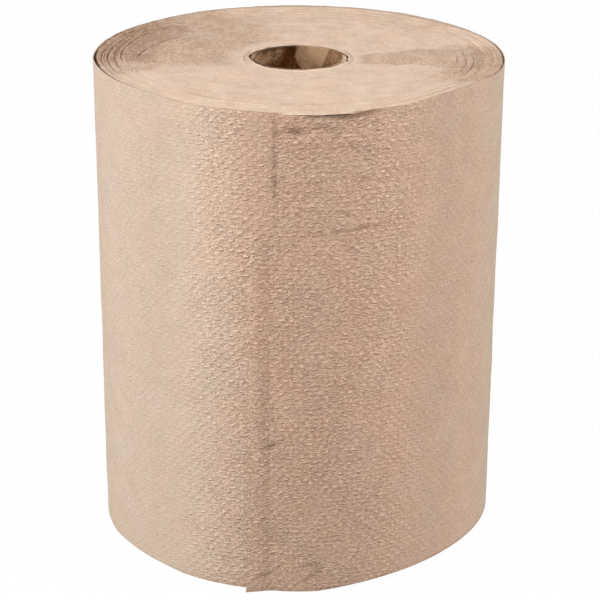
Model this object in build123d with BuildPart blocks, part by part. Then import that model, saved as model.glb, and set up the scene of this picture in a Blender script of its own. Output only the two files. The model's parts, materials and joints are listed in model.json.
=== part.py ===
from build123d import *
import math
import os

# A roll of brown paper towels standing on its end, in millimetres. The origin is on the
# axis of the core at the lower end, +Z runs up the axis and -Y faces the viewer. Angles
# round the roll are in degrees from the front, -Y, towards +X.

# Driving dimensions; the upper end of the core stands in by its setback
web_width = 200.0
roll_radius = 83.0
core_bore_radius = 17.9
core_wall = 1.5
core_setback = 1.3

# Wound pack: how far its groups of turns stand in at the two ends, most of all round the
# core at the upper end, and its rims
turn_stagger = 0.7
upper_rim_round = 1.8
lower_rim_round = 1.0

# Outermost turn: its free edge, its rim and the bulge that it follows at the front
ply_thickness = 0.4
tail_angle = -13.5
turn_angle = 360.0
bulge_height = 0.9
bulge_angle = 6.0
bulge_spread = 11.0
rim_wave = 2.0

# Dog-eared lower corner of the free edge
ear_flare = 5.0
ear_height = 14.0
ear_root_angle = -4.0

# Lower end at the front right, where the turns have crept up clear of the floor
creep_angle = 55.0
creep_hinge_radius = 54.0
creep_rise = 4.3

# Overrun that carries a cut past a face
overrun = 3.0

# Places that follow from the driving dimensions
core_radius = core_bore_radius + core_wall
pack_radius = roll_radius - 2 * ply_thickness
paper_build = pack_radius - core_radius
ply_root_radius = pack_radius - ply_thickness

# Groups of turns at the upper end: where each ends, as a share of the paper's build from
# the core, and how far it stands in, as a share of the stagger
upper_turn_shares = (
    (0.05, 1.9), (0.13, 1.5), (0.22, 1.3), (0.33, 0.7), (0.45, 0.9), (0.58, 0.2),
    (0.70, 0.5), (0.79, 0.0), (0.84, 0.5), (0.88, 0.1), (0.92, 0.7), (0.955, 0.2), (1.0, 0.5),
)
# The same at the lower end, where the groups that stand out bear on the floor
lower_turn_shares = (
    (0.10, 0.6), (0.26, 0.0), (0.44, 0.4), (0.63, 0.0), (0.78, 0.5), (0.90, 0.0), (1.0, 0.3),
)

# Ends of the arcs that the outermost turn is drawn with, as shares of its way round
arc_shares = (0.0, 0.03, 0.07, 0.1, 0.15, 0.25, 0.4, 0.55, 0.7, 0.85, 1.0)

# Height of the outermost turn's upper edge along the front: the distance across as a share
# of the roll's radius, and the height over the pack as a share of the rim's wave
rim_shares = (
    (-1.0, 0.0), (-0.92, 0.45), (-0.74, 0.4), (-0.55, 0.0), (-0.24, -0.1), (0.0, -0.4),
    (0.2, -0.75), (0.31, -0.3), (0.5, 0.35), (0.63, 0.85), (0.8, 0.9), (0.9, 0.45), (1.0, 0.0),
)

# Slits that open between turns at the upper end: radius as a share of the paper's build,
# first and last angle, width and depth
slits = (
    (1.0, -92.0, -30.0, 1.1, 16.0),
    (1.0, -5.6, 17.0, 1.0, 9.0),
    (1.0, 38.0, 84.0, 0.6, 8.0),
    (0.955, -104.0, -52.0, 0.6, 6.0),
    (0.84, -138.0, -112.0, 0.5, 5.0),
)


def around(radius, angle):
    """Returns the point at a radius and an angle round the roll."""
    turn = math.radians(angle)
    return (radius * math.sin(turn), -radius * math.cos(turn))


def end_steps(turn_shares, face, inward):
    """Returns the stepped section of one end, from the core outwards.

    Args:
        turn_shares: outer edge and setback of each group of turns, as shares.
        face: height of the end face.
        inward: height of one full stagger, positive or negative.
    """
    steps = []
    start = core_radius
    for edge_share, setback_share in turn_shares:
        end = core_radius + edge_share * paper_build
        level = face + setback_share * inward
        steps += [(start, level), (end, level)]
        start = end
    return steps


def on_turn(travelled_share):
    """Returns the point on the outermost turn after a share of its way round.

    The turn is a spiral, one ply further in after a full turn, with the bulge added.
    """
    angle = tail_angle + travelled_share * turn_angle
    from_bulge = (angle - bulge_angle) / bulge_spread
    bulge = bulge_height * math.exp(-(from_bulge**2))
    return around(roll_radius - travelled_share * ply_thickness + bulge, angle)


os.makedirs("parts", exist_ok=True)

# Spiral-wound paperboard core
with BuildPart() as core_tube:
    with BuildSketch():
        Circle(core_radius)
        Circle(core_bore_radius, mode=Mode.SUBTRACT)
    extrude(amount=web_width - core_setback)
core_tube.part.label = "core_tube"
export_step(core_tube.part, "parts/core_tube.step")


# Outermost turn: one ply round the pack, from its free edge back to where it passes under
with BuildPart() as outer_turn:
    with BuildSketch():
        with BuildLine():
            for first_share, last_share in zip(arc_shares, arc_shares[1:]):
                arc = ThreePointArc(
                    on_turn(first_share), on_turn((first_share + last_share) / 2), on_turn(last_share)
                )
            Line(arc @ 1, on_turn(0))
        make_face()
        Circle(ply_root_radius, mode=Mode.SUBTRACT)
    extrude(amount=web_width + rim_wave)
    # Front rim, trimmed to its wave
    with BuildSketch(Plane.XZ):
        with BuildLine():
            rim = Spline(
                *[
                    (across_share * roll_radius, web_width + height_share * rim_wave)
                    for across_share, height_share in rim_shares
                ]
            )
            Polyline(
                rim @ 1,
                (roll_radius + overrun, web_width),
                (roll_radius + overrun, web_width + rim_wave + overrun),
                (-roll_radius - overrun, web_width + rim_wave + overrun),
                (-roll_radius - overrun, web_width),
                rim @ 0,
            )
        make_face()
    extrude(amount=roll_radius + overrun, mode=Mode.SUBTRACT)
    # Rear rim, level with the pack
    with BuildSketch(Plane.XZ):
        with Locations((0, web_width)):
            Rectangle(
                2 * (roll_radius + overrun), rim_wave + overrun, align=(Align.CENTER, Align.MIN)
            )
    extrude(amount=-(roll_radius + overrun), mode=Mode.SUBTRACT)


# Wound paper: the pack with its staggered turns, the outermost turn and its loose places
with BuildPart() as towel_roll:
    with BuildSketch(Plane.XZ):
        with BuildLine():
            lower = end_steps(lower_turn_shares, 0, turn_stagger)
            upper = end_steps(upper_turn_shares, web_width, -turn_stagger)
            Polyline(*lower, *reversed(upper), close=True)
        make_face()
    revolve(axis=Axis.Z)
    pack_rims = towel_roll.edges().filter_by(GeomType.CIRCLE).filter_by(lambda edge: edge.radius == pack_radius)
    fillet(pack_rims.sort_by(Axis.Z)[-1], radius=upper_rim_round)
    fillet(pack_rims.sort_by(Axis.Z)[0], radius=lower_rim_round)
    add(outer_turn.part)
    # Slits between loose turns
    for share, first, last, width, depth in slits:
        radius = core_radius + share * paper_build
        middle = (first + last) / 2
        with BuildSketch(Plane.XY.offset(web_width + rim_wave + overrun)):
            with BuildLine():
                ThreePointArc(around(radius, first), around(radius, middle), around(radius, last))
                ThreePointArc(around(radius, last), around(radius - width, middle), around(radius, first))
            make_face()
        extrude(amount=-(depth + rim_wave + overrun), mode=Mode.SUBTRACT)
    # Dog-eared lower corner of the free edge
    ear_middle_angle = (tail_angle + ear_root_angle) / 2
    for height, flare in ((0, ear_flare), (ear_height, 0)):
        with BuildSketch(Plane.XY.offset(height)):
            with BuildLine():
                outer = ThreePointArc(
                    around(roll_radius + flare, tail_angle),
                    around(roll_radius + flare / 4, ear_middle_angle),
                    around(roll_radius, ear_root_angle),
                )
                inner = ThreePointArc(
                    around(pack_radius + flare, tail_angle),
                    around(pack_radius + flare / 4, ear_middle_angle),
                    around(pack_radius, ear_root_angle),
                )
                Line(outer @ 0, inner @ 0)
                Line(outer @ 1, inner @ 1)
            make_face()
    loft()
    # Turns that have crept up at the front right
    heading = Vector(*around(1, creep_angle))
    creep_run = roll_radius - creep_hinge_radius
    creep_plane = Plane(
        origin=heading * creep_hinge_radius, z_dir=Vector(0, 0, creep_run) - heading * creep_rise
    )
    split(bisect_by=creep_plane, keep=Keep.TOP)
towel_roll.part.label = "towel_roll"
export_step(towel_roll.part, "parts/towel_roll.step")
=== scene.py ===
"""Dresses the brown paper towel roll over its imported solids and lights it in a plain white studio.

Angles round the roll are in degrees from the front, -Y, towards +X, as in the part's own frame.
"""

import json
import logging
import math
from dataclasses import dataclass
from enum import Enum
from typing import Callable, Sequence, Union

import bpy
import numpy as np
from mathutils import Euler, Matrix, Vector


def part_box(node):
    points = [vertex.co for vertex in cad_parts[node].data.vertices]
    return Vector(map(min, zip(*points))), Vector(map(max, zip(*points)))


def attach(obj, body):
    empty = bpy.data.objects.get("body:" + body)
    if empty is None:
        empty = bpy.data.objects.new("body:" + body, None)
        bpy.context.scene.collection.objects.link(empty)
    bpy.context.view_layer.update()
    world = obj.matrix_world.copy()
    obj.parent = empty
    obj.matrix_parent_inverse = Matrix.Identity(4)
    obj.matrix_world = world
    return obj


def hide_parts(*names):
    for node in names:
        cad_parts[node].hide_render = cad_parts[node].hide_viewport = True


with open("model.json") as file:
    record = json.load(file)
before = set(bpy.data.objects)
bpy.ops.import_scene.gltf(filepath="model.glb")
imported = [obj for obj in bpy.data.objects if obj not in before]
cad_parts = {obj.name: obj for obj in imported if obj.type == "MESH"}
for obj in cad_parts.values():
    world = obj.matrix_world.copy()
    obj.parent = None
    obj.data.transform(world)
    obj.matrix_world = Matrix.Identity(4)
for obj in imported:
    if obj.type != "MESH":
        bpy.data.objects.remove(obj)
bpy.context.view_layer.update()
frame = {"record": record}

LOG = logging.getLogger("towel_roll")
MM = 0.001
# Heights where the free edge starts to be glued down, and where it is glued for good
GLUED_FROM, GLUED_FULLY = 146 * MM, 156 * MM
Array = np.ndarray
Material = bpy.types.Material
Mesh = bpy.types.Mesh
Piece = bpy.types.Object
Tree = bpy.types.NodeTree
Socket = bpy.types.NodeSocket
Colour = tuple[float, float, float]
Number = Union["Field", float]
# A raised stretch round the roll: its value, first angle, last angle and softness
Ridge = tuple[float, float, float, float]


class Mask(Enum):
    """Masks that the meshes carry for their materials, one value to a point."""

    GLUE_STRIP = "glue_strip"
    # Painted shade of the outer sheet: in its folds and creases, under its buckles and lip, and along its
    # lower edge
    CREASE = "crease_shade"
    # Painted shade down the slits between turns, at the rim, by the core and in the partings
    GAP_SHADE = "gap"
    # The core's seam line, with painted shade along its upper end by the slit at the paper
    SEAM = "seam"
    PALE_STRIP = "pale_strip"
    SHADED_STRIP = "shaded_strip"
    CUT_END = "cut_end"

    def write(self, mesh: Mesh, values: Array) -> None:
        """Stores the mask on a mesh, with one value for each of its points."""
        layer = mesh.attributes.new(self.value, "FLOAT", "POINT")
        layer.data.foreach_set("value", values.reshape(-1).astype(np.float32))

    def read(self, tree: Tree) -> "Field":
        """Returns the mask as a field of a material's tree."""
        node = add_node(tree, "ShaderNodeAttribute", {}, attribute_name=self.value)
        return Field(tree, node.outputs["Fac"])


def operator(operation: str) -> Callable[["Field", Number], "Field"]:
    """Returns the method that combines a field with another by an operation of the Math node."""
    return lambda field, other: field.math(operation, other)


@dataclass(frozen=True)
class Field:
    """A number that varies over a surface: a socket of a node tree that takes arithmetic."""

    tree: Tree
    socket: Socket

    def math(self, operation: str, *others: Number) -> "Field":
        """Adds a Math node on this field.

        Args:
            operation: Math node operation, such as "POWER".
            others: further inputs of the node, fields or plain numbers.

        Returns:
            The node's result.
        """
        node = self.tree.nodes.new("ShaderNodeMath")
        node.operation = operation
        for slot, value in zip(node.inputs, (self, *others)):
            feed(self.tree, value, slot)
        return Field(self.tree, node.outputs[0])

    __add__ = operator("ADD")
    __sub__ = operator("SUBTRACT")
    __mul__ = operator("MULTIPLY")
    __truediv__ = operator("DIVIDE")

    def ramp(self, low: Number, high: Number, start: Number = 0.0, end: Number = 1.0) -> "Field":
        """Maps the field smoothly from one range to another and holds it at the ends.

        Args:
            low: value that gives start.
            high: value that gives end.
            start: result at and below low.
            end: result at and above high.

        Returns:
            The mapped field.
        """
        node = self.tree.nodes.new("ShaderNodeMapRange")
        node.interpolation_type = "SMOOTHSTEP"
        for slot, value in zip(node.inputs, (self, low, high, start, end)):
            feed(self.tree, value, slot)
        return Field(self.tree, node.outputs[0])


def feed(tree: Tree, value: object, slot: Socket) -> None:
    """Links a field or a socket to an input, or sets a plain value on it.

    Args:
        tree: node tree that holds the input.
        value: field, socket, number or colour.
        slot: input socket.
    """
    source = value.socket if isinstance(value, Field) else value
    if isinstance(source, Socket):
        tree.links.new(source, slot)
    else:
        slot.default_value = source


def add_node(tree: Tree, kind: str, inputs: dict[Union[str, int], object],
             **settings: object) -> bpy.types.Node:
    """Adds a node, sets its properties and feeds its inputs.

    Args:
        tree: tree that the node joins.
        kind: the node's type name.
        inputs: fields or plain values by the socket's name or place.
        settings: properties of the node.

    Returns:
        The new node.
    """
    node = tree.nodes.new(kind)
    for name, value in settings.items():
        setattr(node, name, value)
    for name, value in inputs.items():
        feed(tree, value, node.inputs[name])
    return node


def coordinates(tree: Tree, place: Socket) -> list[Field]:
    """Returns the x, y and z of a place."""
    parts = add_node(tree, "ShaderNodeSeparateXYZ", {"Vector": place})
    return [Field(tree, output) for output in parts.outputs]


def joined(tree: Tree, **parts: Number) -> Socket:
    """Returns the place that has the given X, Y and Z."""
    return add_node(tree, "ShaderNodeCombineXYZ", parts).outputs[0]


def add_sizes(tree: Tree, sizes: dict[str, float]) -> None:
    """Gives a node group a named input for each of its sizes."""
    for label, value in sizes.items():
        tree.interface.new_socket(label, in_out="INPUT", socket_type="NodeSocketFloat").default_value = value


def noise(tree: Tree, vector: object, scale: float, detail: float = 2.0,
          roughness: float = 0.5, distortion: float = 0.0) -> Field:
    """Adds a noise texture.

    Args:
        tree: tree that the texture joins.
        vector: socket with the place, in metres.
        scale: features in each metre.
        detail: octaves added.
        roughness: strength of each octave against the one before.
        distortion: how far the pattern curls.

    Returns:
        The noise, about 0.5 on average.
    """
    node = add_node(tree, "ShaderNodeTexNoise", {
        "Vector": vector, "Scale": scale, "Detail": detail, "Roughness": roughness, "Distortion": distortion,
    })
    return Field(tree, node.outputs[0])


def mix_colour(tree: Tree, factor: Number, first: object, second: object, blend: str = "MIX") -> Socket:
    """Mixes two colours.

    Args:
        tree: tree that the node joins.
        factor: share of the second colour.
        first: first colour, a socket or a value.
        second: second colour, a socket or a value.
        blend: blend type.

    Returns:
        The socket with the mixed colour.
    """
    node = tree.nodes.new("ShaderNodeMix")
    node.data_type = "RGBA"
    node.blend_type = blend
    for slot, value in ((node.inputs[0], factor), (node.inputs[6], first), (node.inputs[7], second)):
        feed(tree, (*value, 1.0) if isinstance(value, tuple) and len(value) == 3 else value, slot)
    return node.outputs[2]


def facing(tree: Tree, place: Socket, angle: float) -> Field:
    """Works out how squarely places lie in one direction from the roll's axis.

    Args:
        tree: tree that the nodes join.
        place: socket with the place on the object.
        angle: the direction, in degrees from the front.

    Returns:
        The cosine of the angle between the place and the direction.
    """
    flat = add_node(tree, "ShaderNodeVectorMath", {0: place, 1: (1.0, 1.0, 0.0)}, operation="MULTIPLY")
    outward = add_node(tree, "ShaderNodeVectorMath", {0: flat.outputs[0]}, operation="NORMALIZE").outputs[0]
    turn = math.radians(angle)
    towards = (math.sin(turn), -math.cos(turn), 0.0)
    lined_up = add_node(tree, "ShaderNodeVectorMath", {0: outward, 1: towards}, operation="DOT_PRODUCT")
    return Field(tree, lined_up.outputs["Value"])


def new_material(name: str, inputs: dict[str, object]) -> tuple[Material, Tree]:
    """Makes a material with its own plain shader.

    Args:
        name: the material's name.
        inputs: the shader's inputs that aren't left as they are.

    Returns:
        The material and its tree.
    """
    material = bpy.data.materials.new(name)
    material.use_nodes = True
    tree = material.node_tree
    for label, value in inputs.items():
        feed(tree, value, tree.nodes["Principled BSDF"].inputs[label])
    return material, tree


class FibreGroup:
    """Node group with the tone, relief and flecks of unbleached paper, shared by all the finishes."""

    name = "paper_fibre"

    @classmethod
    def get(cls) -> Tree:
        """Returns the group, built on its first use."""
        return bpy.data.node_groups.get(cls.name) or cls.build()

    @classmethod
    def build(cls) -> Tree:
        """Builds the group.

        Returns:
            The node group, with its sizes in metres as inputs.
        """
        tree = bpy.data.node_groups.new(cls.name, "ShaderNodeTree")
        tree.interface.new_socket("Vector", in_out="INPUT", socket_type="NodeSocketVector")
        add_sizes(tree, {"Fibre Size": 0.5 * MM, "Mottle Size": 9 * MM, "Fleck Spacing": 9 * MM})
        for label in ("Tone", "Mottle", "Fleck", "Glint"):
            tree.interface.new_socket(label, in_out="OUTPUT", socket_type="NodeSocketFloat")
        given = tree.nodes.new("NodeGroupInput").outputs

        def scaled(size: str) -> Socket:
            """Returns the place counted in the named size."""
            inputs = {0: given["Vector"], "Scale": Field(tree, given[size]).math("POWER", -1.0)}
            return add_node(tree, "ShaderNodeVectorMath", inputs, operation="SCALE").outputs[0]

        fibres = scaled("Fibre Size")
        fine = noise(tree, fibres, 1.0, 2.0, 0.6, 0.9)
        coarse = noise(tree, fibres, 0.37, 2.0, 0.6, 1.6)
        inputs = {"Vector": scaled("Fleck Spacing"), "Scale": 1.0}
        cells = add_node(tree, "ShaderNodeTexVoronoi", inputs).outputs
        chosen = coordinates(tree, cells["Color"])[0]
        leave = tree.nodes.new("NodeGroupOutput").inputs
        feed(tree, fine * 0.62 + coarse * 0.38, leave["Tone"])
        feed(tree, noise(tree, scaled("Mottle Size"), 1.0, 3.0, 0.55, 0.4), leave["Mottle"])
        fleck = Field(tree, cells["Distance"]).ramp(0.035, 0.06, 1.0, 0.0)
        feed(tree, fleck * chosen.ramp(0.35, 0.55), leave["Fleck"])
        feed(tree, noise(tree, fibres, 0.8, 1.0, 0.5, 2.2).ramp(0.66, 0.74), leave["Glint"])
        return tree


@dataclass(frozen=True)
class PaperFinish:
    """What all the paper finishes share: colours, sheen and the grain of the fibre."""

    name: str
    light: Colour
    dark: Colour
    fleck: Colour
    roughness: float = 0.92
    sheen: float = 0.03
    sheen_roughness: float = 0.6
    specular: float = 0.12
    fibre_size: float = 0.5 * MM
    fibre_depth: float = 0.12 * MM

    def start(self) -> tuple[Material, Tree, Socket, dict[str, Field]]:
        """Makes the material with its own plain shader, and places the fibre group.

        Returns:
            The material, its tree, the place on the object in metres, and the group's outputs by name.
        """
        material, tree = new_material(self.name, {
            "Roughness": self.roughness, "Specular IOR Level": self.specular,
            "Sheen Weight": self.sheen, "Sheen Roughness": self.sheen_roughness,
        })
        material.diffuse_color = (*self.light, 1.0)
        place = tree.nodes.new("ShaderNodeTexCoord").outputs["Object"]
        inputs = {"Vector": place, "Fibre Size": self.fibre_size}
        group = add_node(tree, "ShaderNodeGroup", inputs, node_tree=FibreGroup.get())
        return material, tree, place, {output.name: Field(tree, output) for output in group.outputs}

    def finish(self, tree: Tree, tone: Field, tints: Sequence[tuple[Field, Colour]],
               overlays: Sequence[tuple[Field, Colour]], relief: Field) -> None:
        """Feeds the colours and the relief to the shader.

        Args:
            tree: the material's tree.
            tone: 0 for the dark colour and 1 for the light one.
            tints: share and colour of each tint that the paper is multiplied by: its own tints, and painted
                light and shade.
            overlays: share and colour of each colour laid over it: its own marks, and painted shade.
            relief: relief in metres.
        """
        paper = mix_colour(tree, tone.ramp(0.0, 1.0), self.dark, self.light)
        for blend, layers in (("MULTIPLY", tints), ("MIX", overlays)):
            for share, colour in layers:
                paper = mix_colour(tree, share, paper, colour, blend)
        bump = add_node(tree, "ShaderNodeBump", {"Strength": 1.0, "Distance": 1.0, "Height": relief})
        shader = tree.nodes["Principled BSDF"]
        tree.links.new(paper, shader.inputs["Base Color"])
        tree.links.new(bump.outputs[0], shader.inputs["Normal"])


@dataclass(frozen=True)
class EmbossedPaper(PaperFinish):
    """Side of the roll: creped, unbleached paper pressed with staggered rows of small pillows."""

    period: float = 3.85 * MM
    pillow_depth: float = 0.2 * MM
    drift: float = 2 * MM
    # Patches in each metre, of the pillows' drift, of firm pressing, of uneven pillows and of blush
    drift_scale: float = 190.0
    press_scale: float = 45.0
    uneven_scale: float = 420.0
    blush_scale: float = 60.0
    crepe_size: float = 0.68 * MM
    crepe_stretch: float = 0.45
    crepe_depth: float = 0.28 * MM
    edge_shade: float = 0.06
    edge_reach: float = 30 * MM
    bright_height: float = 150 * MM
    strip_colour: Colour = (0.5, 0.335, 0.235)
    loose_angle: float = 2.0
    loose_gain: float = 3.0
    # Painted light: tint that lifts the front of the sheet
    painted_light_tint: Colour = (1.27, 1.21, 1.19)
    # Painted shade: the warmer, deeper colour of the dimmer front, where light bounces in the crepe
    warm_angle: float = 25.0
    painted_warmth_tint: Colour = (1.07, 0.965, 0.925)
    blush: Colour = (1.03, 0.98, 0.965)

    def build(self) -> Material:
        """Builds the material from the sheet's own UV map, in metres along and across it.

        Returns:
            The material.
        """
        material, tree, place, fibre = self.start()
        sheet = add_node(tree, "ShaderNodeUVMap", {}, uv_map="sheet").outputs[0]
        along, across, _ = coordinates(tree, sheet)
        drift = (noise(tree, sheet, self.drift_scale) - 0.5) * self.drift
        turn = 2 * math.pi / self.period
        row = ((across + drift) * turn).math("COSINE")
        lattice = ((along + drift) * turn).math("COSINE") * row
        pressed = noise(tree, sheet, self.press_scale).ramp(0.35, 0.65, 0.7, 1.0)
        uneven = noise(tree, sheet, self.uneven_scale, 1.0).ramp(0.35, 0.6, 0.4, 1.0)
        pillow = lattice.ramp(-0.1, 0.6) * row.math("POWER", 6.0) * pressed * uneven
        laid = joined(tree, X=along * self.crepe_stretch, Y=across)
        crepe = (noise(tree, laid, 1 / self.crepe_size, 2.0, 0.55, 0.7) - 0.5) * pressed
        grain = fibre["Tone"] - 0.5
        strip = Mask.GLUE_STRIP.read(tree)
        loose = facing(tree, place, self.loose_angle).ramp(0.79, 0.995)
        free = strip * across.ramp(GLUED_FROM + 2 * MM, GLUED_FULLY, 0.0, -0.4) + 1.0
        relief = ((pillow * self.pillow_depth + crepe * self.crepe_depth + grain * self.fibre_depth)
                  * (loose * self.loose_gain + 1.0) * free)
        # Painted light: the fibre grain's contrast is weaker on the left, where the lamps wash it out, and
        # stronger on the right
        speckle = facing(tree, place, 90.0).ramp(-0.9, 0.9, 0.72, 1.12)
        # The crepe and pillow terms also paint the relief's shade and highlights into the tone, most at the
        # loose front where the side light rakes
        tone = (grain * speckle + crepe * (loose * 1.7 + 0.4) + (fibre["Mottle"] - 0.5) * 0.2
                + pillow * (loose * 0.5 + 0.12) + fibre["Glint"] * 0.22
                - along.ramp(0.0, self.edge_reach, self.edge_shade, 0.0) + 0.41)
        # Painted light: the front of the sheet lifted by a tint, less so towards the bottom
        bright = facing(tree, place, 1.0).ramp(0.73, 0.95) * across.ramp(0.0, self.bright_height, 0.6, 1.0)
        self.finish(tree, tone, (
            (noise(tree, sheet, self.blush_scale).ramp(0.35, 0.65), self.blush), (bright, self.painted_light_tint),
            # painted shade: the front's warmer, deeper colour
            (facing(tree, place, self.warm_angle).ramp(0.62, 0.87), self.painted_warmth_tint),
        ), (
            (strip * across.ramp(GLUED_FROM, GLUED_FULLY, 0.05, 0.36), self.strip_colour),
            # painted shade of the outer sheet in the fleck colour, then the fibre flecks
            (Mask.CREASE.read(tree) * 0.75, self.fleck), (fibre["Fleck"] * 0.45, self.fleck),
        ), relief)
        return material


@dataclass(frozen=True)
class ShadedSector:
    """A part of the end face with painted shade, darker and more saturated where side light rakes across the
    turns' edges, and with rougher relief.
    """

    angle: float
    half_width: float
    inner_radius: float
    outer_radius: float
    weight: float
    soft: float = 0.04
    outline: float = 0.0

    def masks(self, tree: Tree, place: Socket, radius: Field, stray: Field) -> tuple[Field, Field]:
        """Works out how far a place lies in the sector and on its sides.

        Args:
            tree: the material's tree.
            place: socket with the place on the object.
            radius: its distance from the roll's axis.
            stray: noise about 0 that frays the sector's sides.

        Returns:
            The mask, 0 outside the sector and its weight inside, and the lines along its sides.
        """
        lined_up = facing(tree, place, self.angle) + stray * (3.0 * self.soft + 0.04)
        edge = math.cos(math.radians(self.half_width))
        inside = (lined_up.ramp(edge - self.soft, edge + self.soft)
                  * radius.ramp(self.inner_radius * 0.85, self.inner_radius * 1.15)
                  * radius.ramp(self.outer_radius * 0.95, self.outer_radius * 1.05, 1.0, 0.0))
        return inside * self.weight, inside * (inside * -1.0 + 1.0) * (4.0 * self.outline)


@dataclass(frozen=True)
class TurnEdges(PaperFinish):
    """Ends of the roll: the cut edges of the turns, as fine rings of light edge and dark gap."""

    ring_size: float = 0.5 * MM
    ring_depth: float = 0.4 * MM
    ring_length: float = 8 * MM
    sector_patch_size: float = 1.8 * MM
    crush_depth: float = 2.2 * MM
    # Patches in each metre, of blush and of the frayed sides of the worn sectors
    blush_scale: float = 50.0
    stray_scale: float = 90.0
    lit_inner: tuple[float, float] = (19.6 * MM, 20.1 * MM)
    lit_outer: tuple[float, float] = (20.6 * MM, 21.4 * MM)
    # Painted shade in the slits between turns and by the core
    gap_shade_colour: Colour = (0.12, 0.05, 0.02)
    blush: Colour = (1.02, 0.975, 0.965)
    # Painted shade: the tint of the shaded sectors
    sector_shade_tint: Colour = (1.0, 0.93, 0.89)
    sectors: Sequence[ShadedSector] = (
        ShadedSector(-106.0, 30.0, 56 * MM, 90 * MM, 0.9, 0.08),
        ShadedSector(-114.0, 46.0, 28 * MM, 90 * MM, 0.45, 0.14),
        ShadedSector(86.0, 13.0, 27 * MM, 72 * MM, 0.38, 0.006, 0.3),
        ShadedSector(78.0, 22.0, 60 * MM, 90 * MM, 0.5),
        ShadedSector(160.0, 40.0, 60 * MM, 90 * MM, 0.12, 0.12),
    )

    def build(self) -> Material:
        """Builds the material from the place on the object.

        Returns:
            The material.
        """
        material, tree, place, fibre = self.start()
        x, y, _ = coordinates(tree, place)
        radius = (x * x + y * y).math("SQRT")
        ring = joined(tree, X=radius, Y=x / radius * self.ring_length, Z=y / radius * self.ring_length)
        rings = noise(tree, ring, 1 / self.ring_size, 2.0, 0.6) - 0.5
        bands = noise(tree, ring, 0.14 / self.ring_size) - 0.5
        stray = noise(tree, place, self.stray_scale, 3.0) - 0.5
        masks = [sector.masks(tree, place, radius, stray) for sector in self.sectors]
        sector_shade, sides = masks[0]
        for inside, side in masks[1:]:
            sector_shade, sides = sector_shade.math("MAXIMUM", inside), sides + side
        sector_patches = (noise(tree, place, 1 / self.sector_patch_size, 2.0, 0.6, 1.2) - 0.5) * sector_shade
        grain = fibre["Tone"] - 0.5
        lit = (radius.ramp(*self.lit_inner) * radius.ramp(*self.lit_outer, 1.0, 0.0)
               * facing(tree, place, -8.0).ramp(0.3, 0.85))
        # Painted shade in the shaded sectors: a darker tone, stronger rings and patches
        tone = (rings * (sector_shade * 1.5 + 0.38) + bands * 0.2 + grain * (sector_shade * 0.4 + 1.35) + sector_patches * 1.2
                + (fibre["Mottle"] - 0.5) * 0.5 + lit * 0.35 - sector_shade * 0.4 + 0.61)
        relief = rings * self.ring_depth * (sector_shade + 0.3) + sector_patches * self.crush_depth
        self.finish(tree, tone, (
            (noise(tree, place, self.blush_scale).ramp(0.35, 0.65), self.blush), (sector_shade, self.sector_shade_tint),
        ), (
            # painted shade along the shaded sectors' sides and in the slits between turns, then the fibre
            # flecks
            (sides, self.fleck), (Mask.GAP_SHADE.read(tree), self.gap_shade_colour), (fibre["Fleck"] * 0.4, self.fleck),
        ), relief + grain * self.fibre_depth)
        return material


@dataclass(frozen=True)
class CoreBoard(PaperFinish):
    """Paperboard of the core: smoother and darker than the towel, paler on its cut end."""

    cut_end: Colour = (0.66, 0.5, 0.36)

    def build(self) -> Material:
        """Builds the material from the place on the object.

        Returns:
            The material.
        """
        material, tree, _, fibre = self.start()
        pale, grain = Mask.PALE_STRIP.read(tree), fibre["Tone"] - 0.5
        tone = (grain * 1.6 + (fibre["Mottle"] - 0.5) * 1.4 + fibre["Glint"] * (pale * 0.6 + 0.2)
                + pale * 0.35 - Mask.SHADED_STRIP.read(tree) * 0.6 + 0.4)
        self.finish(tree, tone, (), (
            # the seam's dark line, with painted shade along the upper end
            (Mask.SEAM.read(tree) * 0.9, self.fleck), (Mask.CUT_END.read(tree), self.cut_end),
            (fibre["Fleck"] * 0.6, self.fleck),
        ), grain * self.fibre_depth)
        return material


TOWEL = EmbossedPaper(
    name="embossed_towel", light=(0.64, 0.526, 0.418), dark=(0.346, 0.257, 0.186), fleck=(0.2, 0.12, 0.07),
)
EDGES = TurnEdges(
    name="turn_edges", light=(0.775, 0.615, 0.48), dark=(0.415, 0.277, 0.186), fleck=(0.3, 0.19, 0.11),
)
BOARD = CoreBoard(
    name="core_board", light=(0.455, 0.285, 0.168), dark=(0.09, 0.026, 0.003), fleck=(0.035, 0.012, 0.003),
    fibre_size=0.7 * MM, fibre_depth=0.06 * MM, sheen=0.0, specular=0.05,
)


def hill(place: Array, centre: float, width: float) -> Array:
    """Returns a smooth hill of height 1 about a centre."""
    return np.exp(-(((place - centre) / width) ** 2))


def rise(place: Array, low: float, high: float) -> Array:
    """Returns a smooth rise from 0 at low to 1 at high."""
    share = np.clip((place - low) / (high - low), 0.0, 1.0)
    return share * share * (3.0 - 2.0 * share)


def stretch(place: Array, low: float, high: float, soft: float) -> Array:
    """Returns 1 between two places and 0 outside them, with soft ends."""
    return rise(place, low - soft, low + soft) * (1.0 - rise(place, high - soft, high + soft))


def wrap(angle: Array) -> Array:
    """Returns the same angles from -180 up to 180 degrees."""
    return (angle + 180.0) % 360.0 - 180.0


def ridges(angle: Array, rows: Sequence[Ridge]) -> Array:
    """Adds up the values of raised stretches round the roll."""
    return sum(value * stretch(wrap(angle), *ends) for value, *ends in rows)


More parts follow.
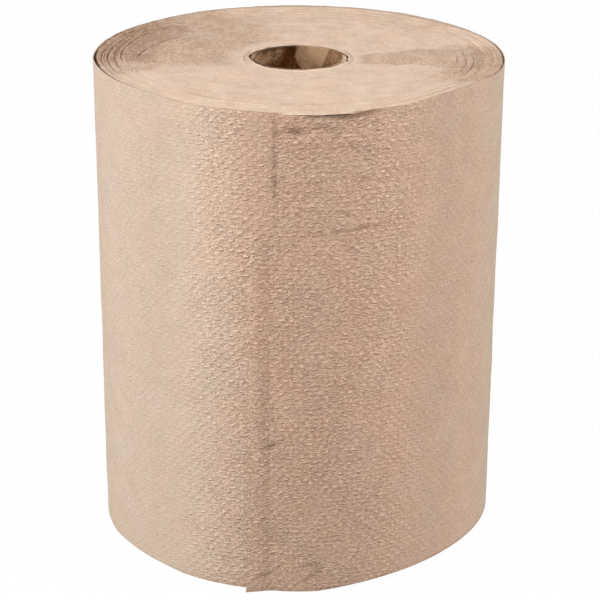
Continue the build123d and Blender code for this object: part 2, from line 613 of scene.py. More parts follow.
def waves(angle: Array, across: Array, radius: float, lengths: tuple[float, float], seed: int,
          count: int = 28) -> Array:
    """Adds up random waves over a sheet that goes round the roll.

    Args:
        angle: angles of the places, in degrees.
        across: places across the sheet, in metres.
        radius: radius of the sheet, in metres.
        lengths: shortest wavelength round the roll and across the sheet, in metres.
        seed: seed of the waves.
        count: how many waves there are.

    Returns:
        The sum, about 1 at its strongest, the same after each whole turn.
    """
    random = np.random.default_rng(seed)
    most = 2 * math.pi * radius / lengths[0]
    total = np.zeros(np.broadcast(angle, across).shape)
    for _ in range(count):
        turns = round(random.uniform(-most, most))
        run = random.uniform(-2 * math.pi, 2 * math.pi) * across / lengths[1]
        total += np.cos(np.radians(angle) * turns + run + random.uniform(0.0, 2 * math.pi))
    return total / (1.6 * math.sqrt(count))


@dataclass(frozen=True)
class Furrow:
    """A line pressed into the paper, by the angles and the places (radii or heights) of its two ends."""

    first: float
    last: float
    start: float
    end: float
    width: float
    depth: float
    soft: float = 6.0
    shade: float = 0.0

    @classmethod
    def table(cls, rows: Sequence[Sequence[float]]) -> tuple["Furrow", ...]:
        """Returns the furrows of a table: two angles, four sizes in millimetres, softness and shade."""
        return tuple(cls(*row[:2], *(size * MM for size in row[2:6]), *row[6:]) for row in rows)

    def middle(self, turned: Array) -> Array:
        """Returns the line's own place at each angle."""
        share = (turned - self.first) / (self.last - self.first)
        return self.start + share * (self.end - self.start)

    def line(self, turned: Array, place: Array, sway: Union[Array, float] = 0.0) -> Array:
        """Returns 1 for places on the line, which strays by its sway, and 0 away from it."""
        across = hill(place, self.middle(turned) + sway, self.width)
        return across * stretch(turned, self.first, self.last, self.soft)


# Partings of loose turns at the upper end, by their radii
LOOSE_TURNS = Furrow.table((
    (-134.0, -60.0, 79.0, 79.6, 0.2, 0.5), (-146.0, -66.0, 76.4, 77.1, 0.24, 0.75),
    (-124.0, -72.0, 74.6, 73.4, 0.18, 0.35), (-150.0, -78.0, 72.2, 71.5, 0.22, 0.5),
    (-128.0, -86.0, 55.6, 65.2, 0.26, 0.6), (-32.0, 1.0, 71.2, 71.0, 0.4, 0.5),
    (-14.0, 17.0, 72.9, 72.2, 0.45, 0.6), (4.0, 32.0, 70.4, 70.7, 0.3, 0.5),
    (14.0, 58.0, 78.3, 77.2, 0.22, 0.4), (66.0, 92.0, 71.0, 70.3, 0.22, 0.35),
    (70.0, 98.0, 67.8, 66.9, 0.22, 0.35), (72.0, 100.0, 63.6, 63.9, 0.22, 0.3),
    (56.0, 124.0, 21.8, 21.6, 0.3, 0.45), (-116.0, -70.0, 21.9, 21.8, 0.3, 0.45),
))
# Folds of the outermost sheet, by their heights: first the two broad buckles under the rim
SHEET_FOLDS = Furrow.table((
    (-3.5, 9.0, 192.6, 192.6, 2.2, 0.75, 3.0), (-3.0, 16.0, 188.5, 188.5, 2.4, -0.35, 4.0),
    (-2.0, 19.0, 171.9, 173.1, 0.9, 0.25, 3.0, 0.35), (0.5, 13.0, 159.9, 159.7, 0.9, 0.4, 2.0, 1.2),
    (3.0, 23.0, 152.4, 154.8, 0.65, 0.15, 4.0, 0.7), (-13.0, -3.8, 58.8, 67.2, 0.7, 0.35, 1.0, 1.1),
    (-11.0, -6.0, 5.7, 8.9, 0.7, 0.28, 1.0, 0.7), (2.0, 6.5, 4.6, 9.3, 0.7, 0.28, 1.0, 0.7),
    (1.0, 6.5, 11.3, 12.3, 0.7, 0.2, 1.0, 0.6),
))


@dataclass
class RollShape:
    """Sizes of the roll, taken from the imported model, and the lines that its pieces share."""

    core_bore: float
    core_height: float
    rear_radius: float
    core_wall: float = 1.5 * MM
    core_setback: float = 1.3 * MM
    ply: float = 0.3 * MM
    turn_room: float = 0.34 * MM
    tail_angle: float = -13.5
    creep_angle: float = 55.0
    creep_hinge: float = 54 * MM
    creep_rise: float = 4.3 * MM
    bulge_height: float = 0.9 * MM
    bulge_angle: float = 6.0
    bulge_spread: float = 11.0
    bulge_fade: tuple[float, float] = (3 * MM, 45 * MM)
    # Where the pack's lip hangs over, and the sheet's hollow under it: first angle, last angle and softness
    lip_angles: tuple[float, float, float] = (-5.0, 15.5, 3.5)
    hollow_angles: tuple[float, float, float] = (1.0, 17.5, 3.0)
    lip_sag: float = 0.95 * MM
    hollow_sag: float = 0.4 * MM
    lip_slit: float = 0.8 * MM
    pack_dip: float = 0.2 * MM
    # Stretches of the upper rims and of the slit between them, in millimetres
    pack_rises: Sequence[Ridge] = (
        (0.85, -84.0, -38.0, 5.0), (1.65, 34.0, 64.0, 10.0),
        (0.35, 140.0, 400.0, 12.0), (0.35, -400.0, -140.0, 12.0),
    )
    sheet_rises: Sequence[Ridge] = ((0.1, -86.0, -37.0, 6.0), (0.1, 36.0, 70.0, 8.0))
    slit_widths: Sequence[Ridge] = (
        (0.55, -92.0, -74.0, 6.0), (0.3, -74.0, -44.0, 6.0), (0.5, -38.0, -29.5, 2.5), (0.3, 36.0, 70.0, 6.0),
    )

    @classmethod
    def from_frame(cls) -> "RollShape":
        """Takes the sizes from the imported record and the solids' boxes.

        Returns:
            The shape.
        """
        bore = next(mount for mount in frame["record"]["mounts"] if mount["kind"] == "bore")
        core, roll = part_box("core_tube")[1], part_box("towel_roll")[1]
        return cls(core_bore=bore["dims"]["r_mm"] * MM, core_height=core.z, rear_radius=roll.y)

    @property
    def height(self) -> float:
        """Height of the wound paper, which is the width of the web."""
        return self.core_height + self.core_setback

    @property
    def core_radius(self) -> float:
        """Outer radius of the core, which the paper starts on."""
        return self.core_bore + self.core_wall

    def hollow(self, angle: Array) -> Array:
        """Returns 1 where the sheet stands clear of the pack under its lip, 0 elsewhere."""
        return stretch(wrap(angle), *self.hollow_angles)

    def front(self, angle: Array) -> Array:
        """Returns 1 where the pack's lip hangs over the outermost turn at the front, 0 elsewhere."""
        return stretch(wrap(angle), *self.lip_angles)

    def bulge(self, angle: Array, height: Array) -> Array:
        """Returns how far the outer turns stand out at the front, most at the upper rim."""
        share = 1.0 - 0.75 * rise(self.height - height, *self.bulge_fade)
        return self.bulge_height * hill(wrap(angle), self.bulge_angle, self.bulge_spread) * share

    def outer(self, travelled: Array) -> Array:
        """Returns the radius over the outermost turn after a share of its way round."""
        return self.rear_radius + self.turn_room * (0.5 - travelled)

    def creep(self, radius: Array, angle: Array) -> Array:
        """Returns how far the turns have crept up from the floor at a place."""
        reach = radius * np.cos(np.radians(angle - self.creep_angle)) - self.creep_hinge
        return self.creep_rise * np.maximum(reach, 0.0) / (self.rear_radius - self.creep_hinge)

    def pack_rim(self, angle: Array) -> Array:
        """Returns the height of the pack's upper rim over the roll's own height."""
        return MM * ridges(angle, self.pack_rises) - self.pack_dip * hill(wrap(angle), -12.0, 14.0)

    def sheet_rim(self, angle: Array) -> Array:
        """Returns the height of the outermost turn's upper edge over the roll's own height."""
        lowered = self.lip_sag * self.front(angle) + self.hollow_sag * self.hollow(angle)
        return self.pack_rim(angle) + MM * ridges(angle, self.sheet_rises) - lowered

    def gap(self, angle: Array) -> Array:
        """Returns the width of the slit inside the outermost turn at the upper rim."""
        return MM * ridges(angle, self.slit_widths) + self.lip_slit * self.front(angle)


def place_round(radius: Array, angle: Array, height: Array) -> Array:
    """Returns the points at radii, angles and heights round the roll's axis."""
    turn = np.radians(angle)
    return np.stack(np.broadcast_arrays(radius * np.sin(turn), -radius * np.cos(turn), height), axis=-1)


def grid_faces(rows: int, columns: int, rows_close: bool, columns_close: bool) -> list[tuple[int, ...]]:
    """Lists the quads of a grid of points, row by row.

    Args:
        rows: number of rows.
        columns: number of points in a row.
        rows_close: whether the last row joins the first.
        columns_close: whether the last column joins the first.

    Returns:
        The corners of each quad.
    """
    faces = []
    for row in range(rows if rows_close else rows - 1):
        below = row * columns
        above = (row + 1) % rows * columns
        for column in range(columns if columns_close else columns - 1):
            after = (column + 1) % columns
            faces.append((below + column, below + after, above + after, above + column))
    return faces


def make_mesh(name: str, points: Array, faces: Sequence[Sequence[int]]) -> Mesh:
    """Makes a closed mesh whose faces point outwards.

    Args:
        name: the mesh's name.
        points: its vertices.
        faces: the corners of its faces, quads first.

    Returns:
        The mesh.
    """
    flat = points.reshape(-1, 3)
    mesh = bpy.data.meshes.new(name)
    mesh.from_pydata(flat.tolist(), [], faces)
    quads = flat[np.array([face for face in faces if len(face) == 4])]
    volume = 0.0
    for second, third in ((1, 2), (2, 3)):
        volume += np.einsum("ij,ij->", quads[:, 0], np.cross(quads[:, second], quads[:, third]))
    if volume < 0:
        mesh.flip_normals()
    mesh.update()
    return mesh


def show(name: str, mesh: Mesh, material: Material) -> Piece:
    """Puts a mesh in the scene at the origin, with one material.

    Args:
        name: name of the piece.
        mesh: its mesh.
        material: its material.

    Returns:
        The object.
    """
    piece = bpy.data.objects.new(name, mesh)
    bpy.context.scene.collection.objects.link(piece)
    mesh.materials.append(material)
    return piece


def settle(piece: Piece) -> None:
    """Turns the result of a piece's modifiers into its plain mesh.

    Args:
        piece: object with live modifiers.
    """
    bpy.context.view_layer.update()
    evaluated = piece.evaluated_get(bpy.context.evaluated_depsgraph_get())
    mesh = bpy.data.meshes.new_from_object(evaluated)
    piece.modifiers.clear()
    piece.data = mesh


def smooth(piece: Piece, crease_angle: float = 38.0) -> None:
    """Shades a piece smooth but for its sharp edges.

    Args:
        piece: the piece.
        crease_angle: smallest angle of a sharp edge, in degrees.
    """
    mesh = piece.data
    mesh.polygons.foreach_set("use_smooth", [True] * len(mesh.polygons))
    mesh.set_sharp_from_angle(angle=math.radians(crease_angle))
    mesh.update()


class StaggerTree:
    """Geometry Nodes that set groups of turns in and out along the roll's two ends."""

    @staticmethod
    def build(material: Material) -> Tree:
        """Builds the tree.

        Args:
            material: finish of the turns' edges.

        Returns:
            The geometry node tree, with its sizes in metres as inputs.
        """
        tree = bpy.data.node_groups.new("turn_stagger", "GeometryNodeTree")
        tree.interface.new_socket("Geometry", in_out="INPUT", socket_type="NodeSocketGeometry")
        add_sizes(tree, {
            "Group Width": 1.25 * MM, "Stagger": 0.3 * MM, "Wobble": 0.5 * MM, "Middle Height": 100 * MM,
            "Face Depth": 3 * MM, "Seed": 3.0,
        })
        tree.interface.new_socket("Geometry", in_out="OUTPUT", socket_type="NodeSocketGeometry")
        given = tree.nodes.new("NodeGroupInput").outputs
        size = {output.name: Field(tree, output) for output in given if output.type == "VALUE"}
        position = tree.nodes.new("GeometryNodeInputPosition").outputs[0]
        x, y, z = coordinates(tree, position)
        radius = (x * x + y * y).math("SQRT")
        wander = noise(tree, position, 22.0, 1.0) - 0.5
        group = ((radius + wander * size["Wobble"] * 2.0) / size["Group Width"]).math("FLOOR")
        chance = add_node(tree, "ShaderNodeTexWhiteNoise", {"W": group + size["Seed"]}, noise_dimensions="1D")
        from_middle = z - size["Middle Height"]
        on_face = from_middle.math("ABSOLUTE").ramp(
            size["Middle Height"] - size["Face Depth"], size["Middle Height"] - size["Face Depth"] * 0.5
        )
        setback = Field(tree, chance.outputs["Value"]) * size["Stagger"] * on_face
        inward = from_middle.math("SIGN") * setback * -1.0
        offset = joined(tree, Z=inward)
        moved = add_node(tree, "GeometryNodeSetPosition", {"Geometry": given["Geometry"], "Offset": offset})
        plain = add_node(tree, "GeometryNodeRealizeInstances", {"Geometry": moved.outputs[0]})
        inputs = {"Geometry": plain.outputs[0], "Material": material}
        finish = add_node(tree, "GeometryNodeSetMaterial", inputs)
        tree.links.new(finish.outputs[0], tree.nodes.new("NodeGroupOutput").inputs[0])
        return tree


@dataclass
class WoundPack:
    """The wound turns inside the outermost one: both stepped ends, the rims and the wall."""

    shape: RollShape
    partings: Sequence[Furrow] = LOOSE_TURNS
    columns: int = 400
    inner_rows: int = 84
    outer_rows: int = 62
    lower_rows: int = 48
    rim_share: float = 0.78
    rim_round: float = 1.6 * MM
    slit_depth: float = 16 * MM
    lip_hollow: float = 1.1 * MM
    lip_fade: tuple[float, float] = (4 * MM, 8 * MM)
    lip_cover: float = 0.05 * MM
    centre_dish: float = 1.25 * MM
    dish_reach: float = 34 * MM
    face_drop: float = 0.1 * MM
    face_wave: float = 0.22 * MM
    parting_sway: float = 0.25 * MM
    # Slit width at which the painted shade is full
    full_gap: float = 0.5 * MM
    floor_gap: float = 0.05 * MM
    group_width: float = 1.25 * MM
    stagger: float = 0.3 * MM
    # Stretches where the paper stands off the core, in millimetres
    core_gaps: Sequence[Ridge] = (
        (0.7, -122.0, -82.0, 5.0), (0.7, 72.0, 108.0, 8.0), (1.05, -178.0, -136.0, 6.0),
        (0.35, -80.0, -36.0, 6.0),
    )
    # Steps below the rim, in millimetres, and the share of the front lip at each
    lip_steps: Sequence[tuple[float, float]] = (
        (0.15, 0.98), (0.3, 0.8), (0.4, 0.4), (0.5, 0.0), (1.5, 0.0), (4.0, 0.0),
    )

    def wall(self, angle: Array, height: Array, lip: float = 0.0) -> Array:
        """Works out the radius of the pack's wall, which draws back in the slits.

        Args:
            angle: angles of the places.
            height: their heights.
            lip: share of the front lip that hangs over the outermost turn.

        Returns:
            The radii.
        """
        shape, below_rim = self.shape, self.shape.height - height
        slit = shape.gap(angle) * (1.0 - rise(below_rim, self.slit_depth * 0.5, self.slit_depth))
        hollow = self.lip_hollow * (1.0 - rise(below_rim, *self.lip_fade))
        sheet = shape.outer(np.full_like(angle, 0.5)) + shape.bulge(angle, height)
        inside = sheet - 1.6 * shape.ply - slit - shape.hollow(angle) * hollow
        return inside + shape.front(angle) * lip * (sheet + self.lip_cover - inside)

    def sway(self, parting: Furrow, angle: Array) -> Array:
        """Returns how far a parting strays from its line, by waves of its own."""
        radius, seed = parting.middle(wrap(angle)).mean(), round(parting.width / MM * 97)
        return self.parting_sway * waves(angle, 0.0, radius, (40 * MM, 1.0), seed, 6)

    def upper_end(self, angle: Array) -> tuple[list[Array], list[Array]]:
        """Shapes the upper end, from the core to the rim's underside.

        Args:
            angle: angles of the columns.

        Returns:
            The rings of points, and how far each point lies down a gap between turns, which is painted as
            shade.
        """
        shape, height = self.shape, self.shape.height
        front, rim = shape.front(angle), shape.pack_rim(angle)
        ragged = np.clip(1.0 + 1.1 * waves(angle, 0.0, shape.core_radius, (4 * MM, 1.0), 17), 0.2, 1.7)
        core_slit = MM * ridges(angle, self.core_gaps) * ragged
        inner, dish_end = shape.core_radius + core_slit, shape.core_radius + self.dish_reach
        edge = self.wall(angle, np.full_like(angle, height), 1.0)
        rounding = self.rim_round * (0.3 + 0.7 * stretch(wrap(angle), -76.0, 62.0, 22.0))
        reach, fall = rounding * (1.0 + 0.9 * front), rounding * (1.0 - 0.6 * front)
        rings = [place_round(inner, angle, height - level) for level in (9 * MM, 4 * MM, 2 * MM)]
        gaps = [np.minimum(core_slit / self.full_gap, 1.0)] * len(rings)
        slit = np.minimum(shape.gap(angle) / self.full_gap, 1.0)
        shares = np.concatenate([
            np.linspace(0.0, self.rim_share, self.inner_rows, endpoint=False),
            np.linspace(self.rim_share, 1.0, self.outer_rows),
        ])
        for share in shares:
            radius = inner + share * (edge - inner)
            inside = np.clip((radius - edge + reach) / reach, 0.0, 1.0)
            level = height - self.face_drop + rim * share**6 - fall * (1.0 - np.sqrt(1.0 - inside**2))
            level -= self.centre_dish * (1.0 - rise(radius, shape.core_radius, dish_end))
            level += self.face_wave * waves(angle, radius, shape.rear_radius, (55 * MM, 30 * MM), 5, 14)
            gap = slit * rise(radius, edge - 0.7 * rounding, edge - 0.35 * rounding) * (1.0 - front)
            for parting in self.partings:
                opened = parting.line(wrap(angle), radius, self.sway(parting, angle))
                level -= parting.depth * opened
                gap = np.maximum(gap, 0.45 * opened)
            rings.append(place_round(radius, angle, level))
            gaps.append(gap)
        for step, lip in self.lip_steps:
            level = height - self.face_drop + rim - fall - step * MM
            rings.append(place_round(self.wall(angle, level, lip), angle, level))
            gaps.append(slit * (step > 0.2))
        return rings, gaps

    def points(self) -> tuple[Array, Array]:
        """Works out the closed section at every angle.

        Returns:
            The points, ring by ring, and their places down the gaps, painted as shade.
        """
        angle = np.linspace(-180.0, 180.0, self.columns, endpoint=False)
        rings, gaps = self.upper_end(angle)
        for below in np.concatenate([np.linspace(8.0, 20.0, 7), np.linspace(40.0, 180.0, 5)]) * MM:
            level = np.full_like(angle, self.shape.height - below)
            rings.append(place_round(self.wall(angle, level), angle, level))
        low_edge = self.wall(angle, np.zeros_like(angle))
        for share in (1.0 - np.linspace(0.0, 1.0, self.lower_rows)) ** 0.8:
            radius = self.shape.core_radius + share * (low_edge - self.shape.core_radius)
            inside = np.clip((radius - low_edge + self.rim_round) / self.rim_round, 0.0, 1.0)
            lift = self.rim_round * (1.0 - np.sqrt(1.0 - inside**2)) + self.floor_gap
            rings.append(place_round(radius, angle, lift + self.shape.creep(radius, angle)))
        gaps += [np.zeros_like(angle)] * (len(rings) - len(gaps))
        return np.stack(rings), np.stack(gaps)

    def build(self) -> Piece:
        """Builds the pack and staggers its turns.

        Returns:
            The piece.
        """
        points, gaps = self.points()
        mesh = make_mesh("wound_pack", points, grid_faces(len(points), self.columns, True, True))
        Mask.GAP_SHADE.write(mesh, gaps)
        edges = EDGES.build()
        piece = show("wound_pack", mesh, edges)
        tree = StaggerTree.build(edges)
        modifier = piece.modifiers.new("stagger", "NODES")
        modifier.node_group = tree
        values = {
            "Group Width": self.group_width, "Stagger": self.stagger, "Middle Height": self.shape.height / 2,
        }
        for item in tree.interface.items_tree:
            if item.in_out == "INPUT" and item.name in values:
                modifier[item.identifier] = values[item.name]
        settle(piece)
        smooth(piece)
        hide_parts("towel_roll")
        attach(piece, "root")
        return piece


@dataclass
class OuterTurn:
    """The outermost ply, from its free edge once round the roll and under itself."""

    shape: RollShape
    folds: Sequence[Furrow] = SHEET_FOLDS
    overlap_angle: float = 6.0
    fine_angle: float = 62.0
    fine_columns: int = 150
    plain_columns: int = 210
    rows: int = 240
    inner_reach: float = 17 * MM
    inner_rows: int = 9
    corner_flare: float = 3.2 * MM
    corner_angle: float = 8.0
    corner_height: float = 13 * MM
    # Ridges and grooves of the glue strip where it is glued down, and below that, where it is free
    glued_ridge: float = 0.12 * MM
    glued_groove: float = 0.2 * MM
    free_ridge: float = 0.42 * MM
    free_groove: float = 0.08 * MM
    edge_lift: float = 0.28 * MM
    line_height: float = 0.1 * MM
    ripple_depth: float = 0.13 * MM
    sway_depth: float = 0.13 * MM
    edge_ragged: float = 0.12 * MM
    foot_gap: float = 0.14 * MM
    least_height: float = 0.02 * MM
    # Stretches where the lower edge has come up, in millimetres
    foot_rises: Sequence[Ridge] = ((0.75, -62.0, -36.0, 6.0),)

    def angles(self) -> Array:
        """Spreads the columns, close together near the free edge.

        Returns:
            The angle of each column.
        """
        first = self.shape.tail_angle
        fine_end, last = first + self.fine_angle, first + 360.0 + self.overlap_angle
        fine = np.linspace(first, fine_end, self.fine_columns, endpoint=False)
        return np.concatenate([fine, np.linspace(fine_end, last, self.plain_columns)])

    def relief(self, angle: Array, height: Array) -> Array:
        """Adds up the folds, creases and waves of the sheet.

        Args:
            angle: angles of the points, from the free edge on.
            height: heights of the points.

        Returns:
            How far each point stands out from the plain turn.
        """
        tail, radius, turned = self.shape.tail_angle, self.shape.rear_radius, wrap(angle)
        from_tail = np.where(angle < tail + 180.0, angle - tail, 99.0)
        glued = rise(height, GLUED_FROM, GLUED_FULLY)
        bound = rise(height, 158 * MM, 172 * MM)
        strip = (
            self.glued_ridge * stretch(from_tail, -2.0, 6.9, 0.6) * glued
            - self.glued_groove * hill(from_tail, 7.3, 0.5) * bound
            + self.free_ridge * hill(from_tail, 2.6, 2.3) * (1.0 - glued)
            - self.free_groove * hill(from_tail, 6.4, 1.0) * (1.0 - glued)
        )
        lifted = self.edge_lift * np.exp(-from_tail / 2.5) * (1.0 - rise(height, 15 * MM, 70 * MM))
        line = self.line_height * hill(turned, 1.5, 0.4) * stretch(height, 6 * MM, 56 * MM, 5 * MM)
        wrinkled = stretch(turned, -6.0, 34.0, 10.0) * (0.35 + 0.65 * rise(height, 120 * MM, 150 * MM))
        ripple = self.ripple_depth * waves(angle, height, radius, (15 * MM, 3.6 * MM), 11, 40) * wrinkled
        sway = self.sway_depth * waves(angle, height, radius, (34 * MM, 26 * MM), 7)
        corner = (np.clip(1.0 - from_tail / self.corner_angle, 0.0, 1.0)
                  * np.clip(1.0 - height / self.corner_height, 0.0, 1.0))
        folds = sum(fold.depth * fold.line(turned, height) for fold in self.folds)
        return strip + lifted + line + ripple + sway + self.corner_flare * corner**2 - folds

    def creases(self, angle: Array, points: Array) -> Array:
        """Works out the painted shade of the sheet: in its folds and creases, under its buckles and its lip,
        and along its lower edge.

        Args:
            angle: angles of the points.
            points: the points.

        Returns:
            The mask, 1 in the sharpest folds.
        """
        shape, height, turned = self.shape, points[..., 2], wrap(angle)
        from_tail = angle - shape.tail_angle
        below = shape.height + shape.sheet_rim(angle) - height
        patches = 0.5 + 0.9 * waves(angle, height, shape.rear_radius, (7 * MM, 4 * MM), 41, 30)
        bound = hill(from_tail, 7.6, 0.7) * stretch(height, 166 * MM, 199 * MM, 8 * MM)
        # Painted shade under the buckles at the rim
        buckle_shade = 0.75 * hill(below, 6 * MM, 2.2 * MM) * np.clip(patches, 0.0, 1.2)
        lines = (
            bound * np.clip(0.3 + 0.4 * patches, 0.0, 1.0)
            + 0.1 * hill(from_tail, 5.2, 1.2) * (1.0 - rise(height, 140 * MM, 152 * MM))
            + sum(fold.shade * fold.line(turned, height) for fold in self.folds)
            + buckle_shade * stretch(turned, -3.5, 9.0, 3.0)
            + 0.7 * stretch(turned, 2.0, 9.0, 3.0) * (1.0 - rise(below, 0.3 * MM, 1.6 * MM))
            + stretch(turned, 9.0, 20.0, 3.0) * (1.0 - rise(below, 0.7 * MM, 2.6 * MM))
        )
        # Painted shade along the lower edge, where the sheet meets the floor
        foot_shade = 0.3 * (1.0 - rise(height - shape.creep(shape.rear_radius, angle), 0.4 * MM, 1.8 * MM))
        return np.clip(lines * (from_tail < 180.0) + foot_shade, 0.0, 1.0)

    def levels(self, angle: Array, travelled: Array) -> tuple[Array, Array]:
        """Works out where the sheet's upper and lower edges run.

        Args:
            angle: angles of the columns.
            travelled: their shares of the way round.

        Returns:
            The heights of the upper and the lower edge at each column.
        """
        shape = self.shape
        ragged = self.edge_ragged * waves(angle, 0.0, shape.rear_radius, (9 * MM, 1.0), 23, 40)
        lifted = self.foot_gap + MM * ridges(angle, self.foot_rises)
        low = shape.creep(shape.outer(travelled), angle) + lifted + 0.3 * ragged
        return shape.height + shape.sheet_rim(angle) + ragged, low

    def build(self) -> Piece:
        """Builds the sheet as a thin closed shell.

        Returns:
            The piece.
        """
        angle = self.angles()
        travelled = (angle - self.shape.tail_angle) / 360.0
        top, low = self.levels(angle, travelled)
        shares = np.linspace(0.0, 1.0, self.rows)
        shares = shares - 0.055 * np.sin(2 * np.pi * shares)
        reach = np.linspace(0.0, 1.0, self.inner_rows)
        heights = [low + share * (top - low) for share in shares]
        heights += [top - share * self.inner_reach for share in reach]
        heights += [low + share * self.inner_reach * 0.5 for share in reach[::-1]]
        depths = [0.0] * self.rows + [self.shape.ply] * (2 * self.inner_rows)
        rings = []
        for level, depth in zip(heights, depths):
            plain = self.shape.outer(travelled) + self.shape.bulge(angle, level)
            radius = plain + self.relief(angle, level) - depth
            rings.append(place_round(radius, angle, np.maximum(level, self.least_height)))
        stack = np.stack(rings)
        rows, columns = stack.shape[:2]
        faces = grid_faces(rows, columns, True, False)
        faces.append(tuple(range(0, rows * columns, columns)))
        faces.append(tuple(range(rows * columns - 1, -1, -columns)))
        mesh = make_mesh("outer_turn", stack, faces)
        self.add_layers(mesh, np.broadcast_to(travelled, (rows, columns)), stack)
        Mask.CREASE.write(mesh, self.creases(np.broadcast_to(angle, (rows, columns)), stack))
        piece = show("outer_turn", mesh, TOWEL.build())
        smooth(piece)
        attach(piece, "root")
        return piece

    def add_layers(self, mesh: Mesh, travelled: Array, points: Array) -> None:
        """Adds the sheet's UV map, in metres, and the mask of its glue strip.

        Args:
            mesh: the sheet's mesh.
            travelled: share of the way round, for each point.
            points: the points.
        """
        along = travelled * 2 * math.pi * self.shape.rear_radius
        flat = np.stack([along, points[..., 2]], axis=-1).reshape(-1, 2)
        corner = np.zeros(len(mesh.loops), dtype=np.int32)
        mesh.loops.foreach_get("vertex_index", corner)
        layer = mesh.uv_layers.new(name="sheet")
        layer.data.foreach_set("uv", flat[corner].astype(np.float32).ravel())
        width = 3.0 + 4.1 * rise(points[..., 2], GLUED_FROM, GLUED_FULLY)
        Mask.GLUE_STRIP.write(mesh, 1.0 - rise(travelled * 360.0, width - 0.4, width + 0.4))


@dataclass
class CoreTube:
    """The spiral-wound paperboard core, with the seam of its inner strip."""

    shape: RollShape
    columns: int = 240
    fine_rows: int = 50
    fine_depth: float = 30 * MM
    plain_rows: int = 40
    plain_depths: tuple[float, float] = (34 * MM, 198 * MM)
    chamfer: float = 0.15 * MM
    paper_gap: float = 0.02 * MM
    seam_pitch: float = 0.253
    seam_angle: float = 134.0
    seam_step: float = 0.2 * MM
    # Edge of the painted shade on the bore's far wall: its angle, its spread in degrees, and its drift with
    # depth
    shade_edge_angle: float = 184.8
    shade_edge_spread: float = 11.0
    shade_edge_drift: float = 14.0
    # Painted shade along the core's upper end: how far down the bore it reaches
    end_shade_depth: float = 1.7 * MM
    pale_stretches: Sequence[Ridge] = ((0.15, -112.0, -86.0, 5.0), (0.65, 68.0, 100.0, 6.0))
    # Stretches round the core's upper end that get painted shade
    end_shade_stretches: Sequence[Ridge] = ((1.0, -178.0, -104.0, 5.0), (1.0, -78.0, -30.0, 5.0))

    def strips(self, angle: Array, depth: float) -> tuple[Array, Array, Array, Array]:
        """Lays out the seam and the strips that it winds between.

        Args:
            angle: angles of the columns.
            depth: depth below the core's upper end.

        Returns:
            The step of the wall, the seam's line, the pale strip and the shaded strip at each column.
        """
        turned = (angle - self.seam_angle - depth / self.seam_pitch * 360.0) % 360.0
        from_shade_edge = (angle - self.shade_edge_angle + self.shade_edge_drift * rise(depth, 3 * MM, 15 * MM)) % 360.0
        step = self.seam_step * (rise(turned, 0.0, 1.5) - rise(turned, 40.0, 350.0))
        pale = rise(turned, 0.0, 1.5) * rise(360.0 - from_shade_edge, 0.0, 1.5) * (turned < 180.0)
        pale = pale * (1.0 - 0.5 * rise(turned, 30.0, 56.0))
        spread = self.shade_edge_spread + 1.6 * depth / MM
        shade = 1.0 - rise(from_shade_edge, spread * 0.5, spread * 1.5) * (0.75 - rise(depth, 4 * MM, 13 * MM))
        shaded = rise(from_shade_edge, 0.0, 1.5) * (1.0 - rise(from_shade_edge, 85.0, 110.0)) * shade
        return step, 0.8 * hill(turned, 0.5, 1.8), pale, shaded

    def build(self) -> Piece:
        """Builds the tube as a closed section swept round the axis.

        Returns:
            The piece.
        """
        angle = np.linspace(-180.0, 180.0, self.columns, endpoint=False)
        top, chamfer = self.shape.core_height, self.chamfer
        rings: list[Array] = []
        masks: dict[Mask, list[Array]] = {
            mask: [] for mask in (Mask.SEAM, Mask.PALE_STRIP, Mask.SHADED_STRIP, Mask.CUT_END)
        }
        pale_end = 0.1 + ridges(angle, self.pale_stretches)
        end_shade = np.clip(ridges(angle, self.end_shade_stretches), 0.0, 1.0)
        ragged = np.clip(1.0 + 1.2 * waves(angle, 0.0, self.shape.core_bore, (4 * MM, 1.0), 31), 0.3, 2.0)
        outer = np.full_like(angle, self.shape.core_radius - self.paper_gap)
        fine = np.linspace(0.0, self.fine_depth, self.fine_rows)
        for depth in np.concatenate([fine, np.linspace(*self.plain_depths, self.plain_rows)]):
            step, seam, pale, shaded = self.strips(angle, depth)
            height = np.full_like(angle, max(top - depth, 0.0))
            rings.append(place_round(self.shape.core_bore + step, angle, height))
            # The seam mask also carries painted shade along the upper end, by the slit at the paper
            seam = np.maximum(seam, end_shade * hill(depth, 0.0, ragged * self.end_shade_depth))
            for mask, values in zip(masks, (seam, pale, shaded, pale_end * (depth == 0.0))):
                masks[mask].append(values)
        for radius, height in (
            (outer - chamfer, 0.0), (outer, chamfer), (outer, top - chamfer), (outer - chamfer, top),
        ):
            rings.append(place_round(radius, angle, np.full_like(angle, height)))
            # Painted shade on the cut end, by the slit at the paper, through the seam mask
            ends = {Mask.CUT_END: pale_end, Mask.SEAM: end_shade}
            for mask, values in masks.items():
                values.append(ends.get(mask, np.zeros_like(angle)) * (height > top / 2))
        stack = np.stack(rings)
        mesh = make_mesh("core_tube_board", stack, grid_faces(len(stack), self.columns, True, True))
        for mask, values in masks.items():
            mask.write(mesh, np.stack(values))
        piece = show("core_tube_board", mesh, BOARD.build())
        smooth(piece)
        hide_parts("core_tube")
        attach(piece, "root")
        return piece


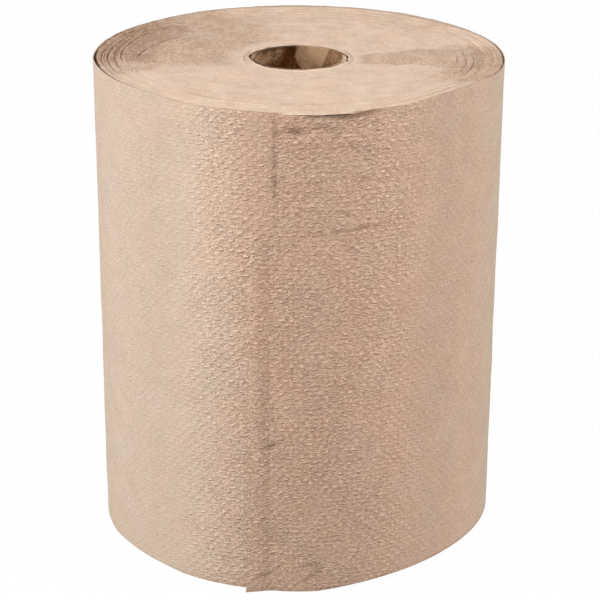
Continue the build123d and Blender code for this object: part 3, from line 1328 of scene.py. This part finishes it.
@dataclass(frozen=True)
class FloorFinish:
    """White paper sweep: shows white to the camera and keeps the roll's shadow."""

    shade: float = 0.45
    glow: float = 0.96
    brightness: float = 1.02

    def build(self) -> Material:
        """Builds the material.

        Returns:
            The material.
        """
        grey, white = (*[self.shade] * 3, 1.0), (1.0, 1.0, 1.0, 1.0)
        inputs = {"Base Color": grey, "Roughness": 1.0, "Specular IOR Level": 0.0}
        material, tree = new_material("white_sweep", inputs)
        shader = tree.nodes["Principled BSDF"]
        inputs = {"Color": white, "Strength": self.brightness}
        light = add_node(tree, "ShaderNodeEmission", inputs)
        seen = Field(tree, tree.nodes.new("ShaderNodeLightPath").outputs["Is Camera Ray"])
        inputs = {0: seen * self.glow, 1: shader.outputs[0], 2: light.outputs[0]}
        mixed = add_node(tree, "ShaderNodeMixShader", inputs)
        tree.links.new(mixed.outputs[0], tree.nodes["Material Output"].inputs[0])
        return material


@dataclass(frozen=True)
class Lamp:
    """A square soft light that looks at the middle of the roll."""

    name: str
    place: tuple[float, float, float]
    power: float
    tint: Colour = (1.0, 1.0, 1.0)
    size: float = 0.8
    aim_height: float = 0.1

    def build(self) -> None:
        """Hangs the lamp in the scene."""
        light = bpy.data.lights.new(self.name, "AREA")
        light.size = self.size
        light.energy = self.power
        light.color = self.tint
        lamp = bpy.data.objects.new(self.name, light)
        lamp.location = self.place
        towards = Vector((0.0, 0.0, self.aim_height)) - Vector(self.place)
        lamp.rotation_euler = towards.to_track_quat("-Z", "Y").to_euler()
        bpy.context.scene.collection.objects.link(lamp)


STUDIO_LAMPS = (
    Lamp("left", (-1.5, 0.0, 0.5), 18.0, (0.93, 0.963, 1.0)),
    Lamp("left_front", (-1.2, -0.9, 0.6), 14.4, (0.95, 0.98, 1.0)),
    Lamp("right", (1.5, 0.0, 0.5), 23.3, (0.968, 0.984, 1.0)),
    Lamp("front_high", (0.0, -0.9, 1.4), 15.5, (1.0, 0.937, 0.908)),
    Lamp("overhead", (0.0, 0.1, 1.6), 2.0),
    Lamp("back", (0.0, 1.7, 0.3), 17.0, (1.0, 0.97, 0.94)),
)


@dataclass
class Studio:
    """Floor, lamps, surroundings and the camera at the photograph's angle."""

    distance: float = 0.7944
    eye_height: float = 0.4087
    pitch: float = 21.66
    roll: float = 0.28
    focal_pixels: float = 2019.9
    axis_pixel: float = 297.54
    image_pixels: float = 600.0
    sensor: float = 36.0
    floor_half: float = 6.0
    lamps: Sequence[Lamp] = STUDIO_LAMPS

    def build(self) -> None:
        """Builds the stage, the lamps and the camera."""
        self.add_floor()
        for lamp in self.lamps:
            lamp.build()
        self.add_surroundings()
        self.add_camera()
        bpy.context.scene.view_settings.view_transform = "Standard"

    def add_floor(self) -> None:
        """Adds the floor that the roll stands on."""
        half = self.floor_half
        corners = [(-half, -half, 0.0), (half, -half, 0.0), (half, half, 0.0), (-half, half, 0.0)]
        mesh = bpy.data.meshes.new("floor")
        mesh.from_pydata(corners, [], [(0, 1, 2, 3)])
        show("floor", mesh, FloorFinish().build())

    def add_surroundings(self) -> None:
        """Adds surroundings that are white to the camera and dark to all else."""
        world = bpy.data.worlds.new("white_room")
        bpy.context.scene.world = world
        world.use_nodes = True
        back = world.node_tree.nodes["Background"]
        back.inputs["Color"].default_value = (1.0, 1.0, 1.0, 1.0)
        seen = world.node_tree.nodes.new("ShaderNodeLightPath").outputs["Is Camera Ray"]
        world.node_tree.links.new(seen, back.inputs["Strength"])

    def add_camera(self) -> None:
        """Adds the camera that was fitted to the roll's outline in the photograph."""
        data = bpy.data.cameras.new("camera")
        data.sensor_width = self.sensor
        data.lens = self.focal_pixels / self.image_pixels * self.sensor
        data.shift_x = -(self.axis_pixel - self.image_pixels / 2) / self.image_pixels
        camera = bpy.data.objects.new("camera", data)
        camera.location = (0.0, -self.distance, self.eye_height)
        aim = Euler((math.radians(90.0 - self.pitch), 0.0, 0.0)).to_matrix()
        tilt = Euler((0.0, 0.0, math.radians(self.roll))).to_matrix()
        camera.rotation_euler = (aim @ tilt).to_euler()
        bpy.context.scene.collection.objects.link(camera)
        bpy.context.scene.camera = camera


def main() -> None:
    """Builds the pieces in order and reports each one."""
    logging.basicConfig(level=logging.INFO, format="%(name)s: %(message)s")
    shape = RollShape.from_frame()
    Studio().build()
    LOG.info("studio ready")
    for maker in (WoundPack(shape), OuterTurn(shape), CoreTube(shape)):
        piece = maker.build()
        triangles = sum(len(face.vertices) - 2 for face in piece.data.polygons)
        LOG.info("%s: %d triangles", piece.name, triangles)


if __name__ == "__main__":
    main()
